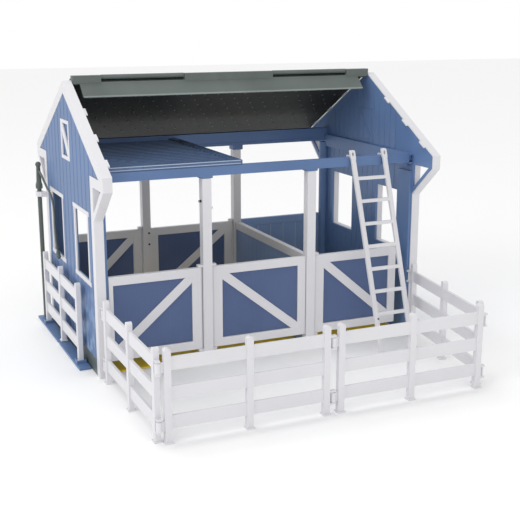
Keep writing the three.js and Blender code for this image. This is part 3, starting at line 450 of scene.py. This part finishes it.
def plastic(name):
    look = finishSet[name]
    material = bpy.data.materials.new(name)
    material.use_nodes = True
    tree = material.node_tree
    shader = tree.nodes["Principled BSDF"]
    grain = addGroup(tree, grainGroup, {"Grain Scale": look["grain"], "Flow Scale": look["flow"]})
    rub = addGroup(tree, highlightGroup)
    flow = addNode(tree, "ShaderNodeMapRange", mixSet["flowRamp"])
    tree.links.new(grain.outputs["Flow"], flow.inputs["Value"])
    # edges are painted paler: a painted highlight
    edgeLit = addNode(tree, "ShaderNodeMath", {1: mixSet["highlightShare"]}, operation="MULTIPLY")
    tree.links.new(rub.outputs["Mask"], edgeLit.inputs[0])
    colour = tinted(tree, look["shade"], look["base"], flow.outputs["Result"])
    colour = tinted(tree, colour, look["rub"], edgeLit.outputs["Value"])
    if "splash" in look:
        colour = tinted(tree, colour, look["splash"], addGroup(tree, lowPatchGroup).outputs["Mask"])
    tree.links.new(colour, shader.inputs["Base Color"])
    smoothest, roughest = look["rough"]
    rough = addNode(tree, "ShaderNodeMapRange", {"To Min": smoothest, "To Max": roughest})
    tree.links.new(grain.outputs["Flow"], rough.inputs["Value"])
    tree.links.new(rough.outputs["Result"], shader.inputs["Roughness"])
    bump = addNode(tree, "ShaderNodeBump", {"Distance": look["bump"], "Strength": mixSet["bumpStrength"]})
    tree.links.new(grain.outputs["Height"], bump.inputs["Height"])
    tree.links.new(bump.outputs["Normal"], shader.inputs["Normal"])
    shader.inputs["Specular IOR Level"].default_value = look["gloss"]
    return material


finish = {name: plastic(name) for name in finishSet}
finishOfSlot = {
    "blue_board": "blueBoard",
    "blue_panel": "bluePanel",
    "white_trim": "whiteTrim",
    "roof_tile": "roofTile",
    "wash_grey": "washGrey",
    "floor_mustard": "floorMustard",
}
print("stable: finishes mixed")


# The hose hangs from the handle to its nozzle; the route repeats the one of the frame's own hose

hoseSet = {"radius": 1.25 * mm, "smooth": 6, "ring": 4, "slot": "wash_grey"}
hoseRoute = [
    (-7, 221.6, 186), (-6.95, 217, 184.9), (-6.6, 211, 182.4), (-6.2, 205, 179), (-5.8, 199.5, 175.6),
    (-5.4, 190, 171.2), (-5, 181, 168.2), (-4.7, 173, 164.6), (-4.4, 166.6, 158.6), (-4.2, 162.8, 150.4),
    (-4.1, 161.7, 140.8), (-4.1, 162.1, 131), (-4.1, 161, 120.6), (-4.1, 158, 110.8), (-4.1, 153.4, 103.2),
]


def alongRoute(points, steps):
    # Catmull-Rom through the points
    ends = [points[0] * 2 - points[1], *points, points[-1] * 2 - points[-2]]
    path = []
    for a, b, c, d in zip(ends, ends[1:], ends[2:], ends[3:]):
        for step in range(steps):
            t = step / steps
            path.append(0.5 * ((2 * b) + (c - a) * t + (2 * a - 5 * b + 4 * c - d) * t * t
                               + (3 * b - a - 3 * c + d) * t ** 3))
    return [*path, points[-1]]


def hose():
    route = [at(*point) for point in hoseRoute]
    path = alongRoute(route, hoseSet["smooth"])
    curve = bpy.data.curves.new("hose", "CURVE")
    curve.dimensions = "3D"
    spline = curve.splines.new("POLY")
    spline.points.add(len(path) - 1)
    for point, place in zip(spline.points, path):
        point.co = (*place, 1)
    curve.bevel_depth = hoseSet["radius"]
    curve.bevel_resolution = hoseSet["ring"]
    curve.use_fill_caps = True
    piece = bpy.data.objects.new("hose", curve)
    bpy.context.scene.collection.objects.link(piece)
    curve.materials.append(finish["washGrey"])
    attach(piece, "spray_arm")
    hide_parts("wash_hose")


hose()


# Sizes that the pieces share with the frame, in millimetres

build = {
    "span": 380, "depth": 220, "trim": 9.6, "post": 10.5, "pitch": math.atan(82.6 / 148.4),
    "ridge": 297.2, "ridgeLine": 110, "hinge": 299.89, "beamTop": 212.8, "rakeDrop": 12.8, "barTop": 210.4,
    "slope": 169.84, "sheet": (0.15, 2.35), "roofSpan": (10.2, 369.8), "roofStart": 6.6,
}


def rakeAt(y):
    return build["ridge"] - math.tan(build["pitch"]) * abs(y - build["ridgeLine"])


def sizeOf(node):
    # a node's low corner and size, in millimetres in the frame's axes
    low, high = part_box(node)
    return low / mm, (high - low) / mm


# Boards with fine grooves, in place of a node that is one flat sheet

boardSet = {"pitch": 12.2, "groove": 1.0, "doorDeep": 0.1, "stallDeep": 0.3, "edge": 0.25, "sharp": 40}


def grooveStations(length, pitch, groove):
    lines = [pitch * step for step in range(1, int(length / pitch) + 1) if pitch * step < length - groove]
    stations = [0, *(line + shift for line in lines for shift in (-groove / 2, 0, groove / 2)), length]
    return [snap(place) for place in stations], {snap(line) for line in lines}


def boardSheet(node, across, material, deep, body="root"):
    # across names the axis that the boards stand side by side along
    low, size = sizeOf(node)
    length, thick = (size.x, size.y) if across == "x" else (size.y, size.x)
    stations, lines = grooveStations(length, boardSet["pitch"], boardSet["groove"])

    def put(u, v, depth):
        middle = thick / 2 + depth
        shift = Vector((u, middle, v)) if across == "x" else Vector((middle, u, v))
        return (low + shift) * mm

    def depths(u, v):
        half = thick / 2 - (deep if u in lines else 0)
        return -half, half

    bm = bmesh.new()
    prism(bm, cells(stations, lambda u: [0, size.z]), put, depths)
    name = node.replace("_boards", "") + "_planks"
    piece = asObject(name, bm, finish[material], body, [node])
    rounded(piece, boardSet["edge"], angle=boardSet["sharp"])


for door in ("front_left_door", "front_gate", "front_right_door", "back_left_door", "back_middle_door"):
    boardSheet(f"{door}_boards", "x", "bluePanel", boardSet["doorDeep"], bodyOfNode[f"{door}_boards"])
# the partition takes the lighter stall blue: painted light
boardSheet("stall_partition", "y", "stallPanelLit", boardSet["stallDeep"])
print("stable: door boards and partition boards set")


# Door frames: rails round the boards, one diagonal on each face, and the barrel that the pins stand in

doorSet = {
    "rail": 9.4, "freeRail": {"front_left_door": 4.6}, "brace": 6.8, "braceInner": 1.15, "braceSunk": 0.15,
    "pin": 1.4, "pinReach": 3, "pinTip": 0.4, "pinSides": 16, "barrelSides": 24, "edge": 0.45,
    # which way along X each door reaches from its hinge
    "ways": {"front_left_door": -1, "front_gate": 1, "front_right_door": 1,
             "back_left_door": -1, "back_middle_door": -1},
}


def doorFrame(door, way):
    look, node = doorSet, f"{door}_frame"
    low, size = sizeOf(node)
    half = size.y / 2
    length, rise = size.x - half, size.z - 2 * look["pinReach"]
    hinge = low.x + half if way > 0 else low.x + size.x - half

    def put(u, v, depth):
        return Vector((hinge + way * u, low.y + half + depth, low.z + look["pinReach"] + v)) * mm

    def putUpright(a, b, h):
        return put(a, h, b)

    rail, brace = look["rail"], look["brace"]
    slim = look["freeRail"].get(door, rail)
    bm = bmesh.new()
    us, vs = [0, rail, length - slim, length], [0, rail, rise - rail, rise]
    prism(bm, border(us, vs), put, flat(-half, half))
    root, tip, foot, top = rail / 2, length - slim / 2, rail / 2, rise - rail / 2
    diagonal = [(root, top - brace), (tip - brace, foot), (tip, foot), (tip, foot + brace),
                (root + brace, top), (root, top)]
    outer = half - look["braceSunk"]
    prism(bm, [diagonal], put, flat(-outer, -look["braceInner"]))
    prism(bm, [diagonal], put, flat(look["braceInner"], outer))
    lathe(bm, [(0, 0), (half, 0), (half, rise), (0, rise)], putUpright, look["barrelSides"])
    pin, reach, point = look["pin"], look["pinReach"], look["pinTip"]
    lathe(bm, [(0, -reach), (pin - point, -reach), (pin, point - reach), (pin, rise + reach - point),
               (pin - point, rise + reach), (0, rise + reach)], putUpright, look["pinSides"])
    piece = asObject(f"{door}_rails", bm, finish["whiteTrim"], bodyOfNode[node], [node])
    rounded(piece, look["edge"])


for door, way in doorSet["ways"].items():
    doorFrame(door, way)


# Tack hook on the outer side of the front left post, over the frame's own short pin

hookSet = {"place": (115.384, 5, 176.8), "root": 0.2, "radius": 1.4, "reach": 2.8,
           "profile": ((1, 0.7), (0.8, 0.92), (0.4, 1)), "sides": 20}


def tackHook():
    x, y, z = hookSet["place"]
    bm = bmesh.new()
    stud(bm, hookSet, lambda a, b, h: at(x - h, y + a, z + b))
    smoothOver(asObject("tack_hook", bm, finish["tackHook"], "root"))


tackHook()


# Small fittings: latch pins on the back left post, dark strips behind the right fence's clips as painted
# shadow, pale beads along the loft's edge as painted highlights

fittingSet = {
    "pins": {"across": 122.8, "face": 210, "heights": (87, 101), "root": 0.2, "radius": 1.25, "reach": 1.3,
             "profile": ((1, 0.7), (0.7, 1)), "sides": 16},
    "clipShadows": {"across": (370.7, 372.9), "face": 0, "proud": 0.25, "heights": ((66.2, 72.8), (19.6, 26.2)),
              "edge": 0.15},
    "highlightBeads": {"span": (12.5, 158.5), "face": 0.3, "proud": 0.35, "half": 0.42, "heights": (217.6, 214.6),
              "edge": 0.2},
}


def latchPins():
    look, bm = fittingSet["pins"], bmesh.new()
    for z in look["heights"]:
        stud(bm, look, lambda a, b, h, z=z: at(look["across"] + a, look["face"] - h, z + b))
    smoothOver(asObject("latch_pins", bm, finish["tackHook"], "root"))


def clipShadowPatches():
    # dark thin blocks set in the clips' gaps, in the dark pin finish: painted shadow
    look, bm = fittingSet["clipShadows"], bmesh.new()
    depths = flat(look["face"] - look["proud"], look["face"] + look["proud"])
    for low, high in look["heights"]:
        prism(bm, [rectangle(*look["across"], low, high)], lambda u, v, depth: at(u, depth, v), depths)
    rounded(asObject("clip_shadow_patches", bm, finish["tackHook"], "root"), look["edge"])


def loftEdgeHighlights():
    # two pale strips along the loft's front edge: painted highlights
    look, bm = fittingSet["highlightBeads"], bmesh.new()
    front, back, half = look["face"] - look["proud"], look["face"] + look["half"], look["half"]
    for z in look["heights"]:
        alongX(bm, rectangle(front, back, z - half, z + half), look["span"])
    rounded(asObject("loft_edge_highlights", bm, finish["stallBeadHighlight"], "root"), look["edge"])


latchPins()
clipShadowPatches()
loftEdgeHighlights()
print("stable: door frames and small fittings set")


# Half wall at the back right: a rim round a thin sheet with upright beads; its blue is lightened as painted
# light

halfWallSet = {
    "rim": 9.5, "sheet": 1.5, "overlap": 1, "edge": 0.4,
    "beadHalf": 0.5, "beadProud": 2.2, "first": 15.5, "pitch": 18, "spare": 3, "beadEdge": 0.2,
}


def halfWall():
    look = halfWallSet
    low, size = sizeOf("half_wall")
    rim, half, sheet = look["rim"], size.y / 2, look["sheet"]
    inner = rim - look["overlap"]

    def put(u, v, depth):
        return (low + Vector((u, half + depth, v))) * mm

    bm = bmesh.new()
    prism(bm, [rectangle(inner, size.x - inner, inner, size.z - inner)], put, flat(-sheet, sheet))
    us, vs = [0, rim, size.x - rim, size.x], [0, rim, size.z - rim, size.z]
    prism(bm, border(us, vs), put, flat(-half, half))
    piece = asObject("half_wall_panel", bm, finish["stallPanelLit"], "root", ["half_wall"])
    rounded(piece, look["edge"])
    # the upright beads are pale: painted highlights
    highlightBeads = bmesh.new()
    place = rim + look["first"]
    while place < size.x - rim - look["spare"]:
        bead = rectangle(place - look["beadHalf"], place + look["beadHalf"], inner, size.z - inner)
        prism(highlightBeads, [bead], put, flat(-look["beadProud"], look["beadProud"]))
        place += look["pitch"]
    rounded(asObject("half_wall_highlight_beads", highlightBeads, finish["stallBeadHighlight"], "root"), look["beadEdge"])


halfWall()


# Ladder: rails with wider heads and a slot in each, rungs through them, hooks over the front beam

ladderSet = {
    "left": 290.32, "spacing": 39.8, "half": 2.5, "depth": 2.0, "top": 221, "edge": 0.45,
    "head": 3.0, "shoulder": (210.5, 212), "headCorner": 1.3, "headSteps": 4,
    "slot": {"middle": 216.8, "radius": 1.05, "straight": 0.9, "steps": 5},
    "stud": {"place": (291.6, 39.8), "root": 0.2, "radius": 1.0, "reach": 0.5,
             "profile": ((1, 0.6), (0.6, 1)), "sides": 16},
    "topOut": 2.6, "footOut": 54, "skew": 13, "rungs": 8, "firstRung": 190.6, "pitch": 24.4,
    "rungHalf": 1.8, "rungDepth": 1.5, "hook": (-2.6, 9.1, 10.7, 213.1, 214.7, 209.7), "hookHalf": 1.2,
}


def railHalves(x):
    # the two sides of a rail, which meet along its middle and leave the slot open
    look, slot = ladderSet, ladderSet["slot"]
    half, head, top, corner = look["half"], look["head"], look["top"], look["headCorner"]
    inset, turns, radius, steps = head - corner, look["headSteps"], slot["radius"], slot["steps"]
    low, high = look["shoulder"]
    under, over = ((x, slot["middle"] + way * slot["straight"]) for way in (-1, 1))
    right = [(x, 0), (x + half, 0), (x + half, low), (x + head, high),
             *arc((x + inset, top - corner), corner, 0, 90, turns), (x, top),
             *arc(over, radius, 90, 0, steps), *arc(under, radius, 0, -90, steps)]
    left = [(x, 0), *arc(under, radius, -90, -180, steps), *arc(over, radius, 180, 90, steps), (x, top),
            *arc((x - inset, top - corner), corner, 90, 180, turns),
            (x - head, high), (x - half, low), (x - half, 0)]
    return [right, left]


def ladder():
    look = ladderSet
    lean = (look["footOut"] - look["topOut"]) / build["beamTop"]
    skew = look["skew"] / build["beamTop"]

    def put(u, v, depth):
        fall = build["beamTop"] - v
        return at(u + skew * fall, depth - look["topOut"] - lean * fall, v)

    start, back, end, floor, top, lip = look["hook"]
    hook = [(start, floor), (back, floor), (back, lip), (end, lip), (end, top), (start, top)]
    first, last = look["left"], look["left"] + look["spacing"]
    bm = bmesh.new()
    for x in (first, last):
        prism(bm, railHalves(x), put, flat(-look["depth"], look["depth"]))
        alongX(bm, hook, (x - look["hookHalf"], x + look["hookHalf"]))
    for rung in range(look["rungs"]):
        middle = look["firstRung"] - rung * look["pitch"]
        bar = rectangle(first, last, middle - look["rungHalf"], middle + look["rungHalf"])
        prism(bm, [bar], put, flat(-look["rungDepth"], look["rungDepth"]))
    piece = asObject("ladder_frame", bm, finish["whiteTrim"], "ladder", ["ladder"])
    rounded(piece, look["edge"])
    # a small dark dot low on the left rail
    dot, (u, v) = bmesh.new(), look["stud"]["place"]
    stud(dot, look["stud"], lambda a, b, h: put(u + a, v + b, -look["depth"] - h))
    smoothOver(asObject("ladder_dark_dot", dot, finish["tackHook"], "ladder"))


ladder()
print("stable: half wall and ladder set")


# Roof: two sheets with tile courses outside and rows of small pips inside, hinged at the ridge

roofSet = {
    "courses": 9, "lap": 0.9, "step": 0.05, "tile": 17.5, "joint": 0.9, "jointDeep": 0.8,
    "pip": ((1.2, 0.1), (0.9, -0.56), (0, -0.8)), "pipPitch": (17, 14), "pipMargin": 14, "pipSides": 10,
    "knuckles": ((41.8, 136.04), (244.34, 340.1)), "knuckleGap": 0.4, "arm": 8.8,
    "knuckleHalf": 4, "knuckleFloor": 293.95, "knuckleTop": 301.94, "barrel": 2.5, "barrelSides": 24,
    "web": ((106.4, 293.05), (118.57, 291.25), (118.57, 293.88), (116.77, 294.78), (106.4, 294.85)),
    "skirt": ((108.2, 293.5), (106.85, 294.4), (93.2, 281.65), (92.4, 281.2), (92.1, 280.1),
              (92.8, 279.5), (95.0, 279.85)),
    "lip": ((92.35, 281.35), (91.95, 280.05), (92.75, 279.3), (93.5, 280.4)),
    "skirtEnds": (7.8, 14.5), "edge": 0.3, "sharp": 40, "lipEdge": 0.15,
}


def onSlope(u, v, depth):
    pitch = build["pitch"]
    return at(u, build["ridgeLine"] + v * math.cos(pitch) + depth * math.sin(pitch),
              build["hinge"] - v * math.sin(pitch) + depth * math.cos(pitch))


def tileSheet(bm, way):
    # way is 1 where the tiles look up the local depth axis and -1 where they look down it
    look = roofSet
    skin, body = build["sheet"]
    (first, last), start, end = build["roofSpan"], build["roofStart"], build["slope"]
    course = (end - start) / look["courses"]
    laps, parity = {}, {}
    for row in range(look["courses"]):
        low, high = start + row * course + look["step"], start + (row + 1) * course
        for place, lap in ((low, look["lap"]), (high, 0)):
            laps[snap(place)] = lap
            parity[snap(place)] = row % 2
    joints, stations = {}, {first, last}
    for half in range(1, int(2 * (last - first) / look["tile"])):
        line = first + half * look["tile"] / 2
        joints[snap(line)] = half % 2
        stations |= {line - look["joint"] / 2, line, line + look["joint"] / 2}
    levels = sorted(laps)

    def depths(u, v):
        sunk = laps[v] + (look["jointDeep"] if joints.get(u) == parity[v] else 0)
        return (-body, -skin - sunk) if way > 0 else (skin + sunk, body)

    prism(bm, cells(sorted(snap(place) for place in stations), lambda u: levels), onSlope, depths)
    (across, along), margin = look["pipPitch"], look["pipMargin"]
    for row in range(int((end - start - margin) / along)):
        v = start + margin + row * along
        u = first + margin + (row % 2) * across / 2
        while u < last - margin:
            lathe(bm, look["pip"], lambda a, b, h, u=u, v=v: onSlope(u + a, v + b, way * (h - body)),
                  look["pipSides"])
            u += across


def backRoof():
    look = roofSet
    bm = bmesh.new()
    tileSheet(bm, 1)
    first, last = build["roofSpan"]
    gap, skirt = look["knuckleGap"], (first + look["skirtEnds"][0], last - look["skirtEnds"][1])
    alongX(bm, look["web"], (first + gap, last - gap))
    alongX(bm, look["skirt"], skirt)
    ends = [first - gap, *(edge for span in look["knuckles"] for edge in span), last + gap]
    line, half = build["ridgeLine"], look["knuckleHalf"]
    knuckle = rectangle(line - half, line + half, look["knuckleFloor"], look["knuckleTop"])
    for low, high in zip(ends[::2], ends[1::2]):
        alongX(bm, knuckle, (low + gap, high - gap))
    replaced = ["roof_back_panel", "ridge_rod"]
    piece = asObject("roof_back", bm, finish["roofTile"], "root", replaced)
    # the underside takes the darker finish: painted shade with painted sheen
    paintShadeOnSide(piece, finish["roofInsideShaded"], onSlope(0, 0, -1) - onSlope(0, 0, 0))
    rounded(piece, look["edge"], angle=look["sharp"])
    # a pale strip on the skirt's lip: painted highlight
    lip = bmesh.new()
    alongX(lip, look["lip"], (skirt[0] + gap, skirt[1] - gap))
    rounded(asObject("roof_skirt_highlight_lip", lip, finish["roofLipHighlight"], "root"), look["lipEdge"])


def frontRoof():
    look, barrel = roofSet, roofSet["barrel"]
    bm = bmesh.new()
    tileSheet(bm, -1)
    for low, high in look["knuckles"]:
        alongX(bm, rectangle(0, look["arm"], *build["sheet"]), (low, high), onSlope)
        lathe(bm, [(0, low), (barrel, low), (barrel, high), (0, high)],
              lambda a, b, h: onSlope(h, a, b), look["barrelSides"])
    piece = asObject("roof_front", bm, finish["roofTile"], "front_roof", ["roof_front_panel"])
    # the underside takes the darker finish: painted shade with painted sheen
    paintShadeOnSide(piece, finish["roofInsideShaded"], onSlope(0, 0, 1) - onSlope(0, 0, 0))
    rounded(piece, look["edge"], angle=look["sharp"])


backRoof()
frontRoof()
print("stable: roof sheets tiled")


# Gable walls: outer boards round the windows and the small loft door, and that door's relief inside

outerSet = {
    "pitch": 16, "groove": 3.4, "deep": 0.85, "face": 0.35, "back": 1.5, "gap": 0.6,
    "windows": (54.5, 165.5), "half": 30.5, "ear": 33.6, "sill": (92.2, 97.4), "head": (166.1, 171.3),
    "loftDoor": (91.7, 128.3, 212.9, 256.3), "splash": 17.3,
}


def onSide(side):
    def put(u, v, depth):
        return at(depth if side == "left" else build["span"] - depth, u, v)
    return put


def outerBoards(side):
    look = outerSet
    gap = look["gap"]
    floor = look["splash"] if side == "left" else 0
    barTop = build["barTop"] + gap
    first, last = build["post"] + gap, build["depth"] - build["post"] - gap
    reach = (build["ridge"] - build["rakeDrop"] - gap - barTop) / math.tan(build["pitch"])
    tips = (build["ridgeLine"] - reach, build["ridgeLine"] + reach)
    count = int(reach / look["pitch"])
    lines = {snap(build["ridgeLine"] + step * look["pitch"]) for step in range(-count, count + 1)}
    edges = [first, last, *tips, *look["loftDoor"][:2]]
    for centre in look["windows"]:
        edges += [centre - look["ear"], centre - look["half"], centre + look["half"], centre + look["ear"]]
    flank, spare = look["groove"] / 2, drawSet["point"]
    edges += [line + shift for line in lines for shift in (-flank, 0, flank)]
    stations = sorted(place for place in {snap(edge) for edge in edges}
                      if tips[0] - spare <= place <= tips[1] + spare)
    rows = [floor, *look["sill"], *look["head"], barTop, *look["loftDoor"][2:]]

    def levels(u):
        top = snap(max(rakeAt(u) - build["rakeDrop"] - gap, barTop))
        return [min(row, top) for row in rows] + [top]

    def isSolid(u, v):
        if v < barTop and not first < u < last:
            return False
        for centre in look["windows"]:
            away = abs(u - centre)
            banded = look["sill"][0] < v < look["sill"][1] or look["head"][0] < v < look["head"][1]
            if away < look["half"] and look["sill"][0] < v < look["head"][1] or away < look["ear"] and banded:
                return False
        low, high, bottom, top = look["loftDoor"]
        return not (low < u < high and bottom < v < top)

    def depths(u, v):
        return look["face"] + (look["deep"] if u in lines else 0), look["back"]

    bm = bmesh.new()
    prism(bm, cells(stations, levels, isSolid), onSide(side), depths)
    boards = finish["washedBoard" if side == "left" else "blueBoard"]
    asObject(f"{side}_outer_boards", bm, boards, "root")


reliefSet = {"frame": (92, 128, 214.5, 256), "bar": 3.2, "root": 0.4, "proud": 0.7, "edge": 0.3}


def doorRelief(side):
    look = reliefSet
    low, high, bottom, top = look["frame"]
    bar = look["bar"]
    face = flat(build["trim"] - look["root"], build["trim"] + look["proud"])
    us, vs = [low, low + bar, high - bar, high], [bottom, bottom + bar, top - bar, top]
    bm = bmesh.new()
    prism(bm, border(us, vs), onSide(side), face)
    brace = [(high - bar, top - bar * 2), (high - bar, top - bar), (high - bar * 2, top - bar),
             (low + bar, bottom + bar * 2), (low + bar, bottom + bar), (low + bar * 2, bottom + bar)]
    prism(bm, [brace], onSide(side), face)
    rounded(asObject(f"{side}_loft_relief", bm, finish["blueBoard"], "root"), look["edge"])


for side in ("left", "right"):
    outerBoards(side)
    doorRelief(side)
print("stable: gable boards set")


# Carried-over pieces: the frame's own solids with softened edges and their finish

softEdge = {"weld": 0.000005, "flat": 1, "width": 0.35, "angle": 38}


def soften(piece):
    weld = piece.modifiers.new("weld", "WELD")
    weld.merge_threshold = softEdge["weld"]
    dissolve = piece.modifiers.new("flat", "DECIMATE")
    dissolve.decimate_type = "DISSOLVE"
    dissolve.angle_limit = math.radians(softEdge["flat"])
    rounded(piece, softEdge["width"], angle=softEdge["angle"])


# nodes whose finish differs from the rest of their slot: loft floor darker as painted shade, right wall
# lighter as painted light
finishOfNode = {"loft_floor": "loftBoardShaded", "right_wall": "insideBoardLit"}
for node, piece in frame["nodes"].items():
    slot = slotOfNode[node]
    piece.data.materials.clear()
    piece.data.materials.append(finish[finishOfNode.get(node, finishOfSlot[slot])])
    if not piece.hide_render:
        soften(piece)
print("stable: carried-over pieces finished")
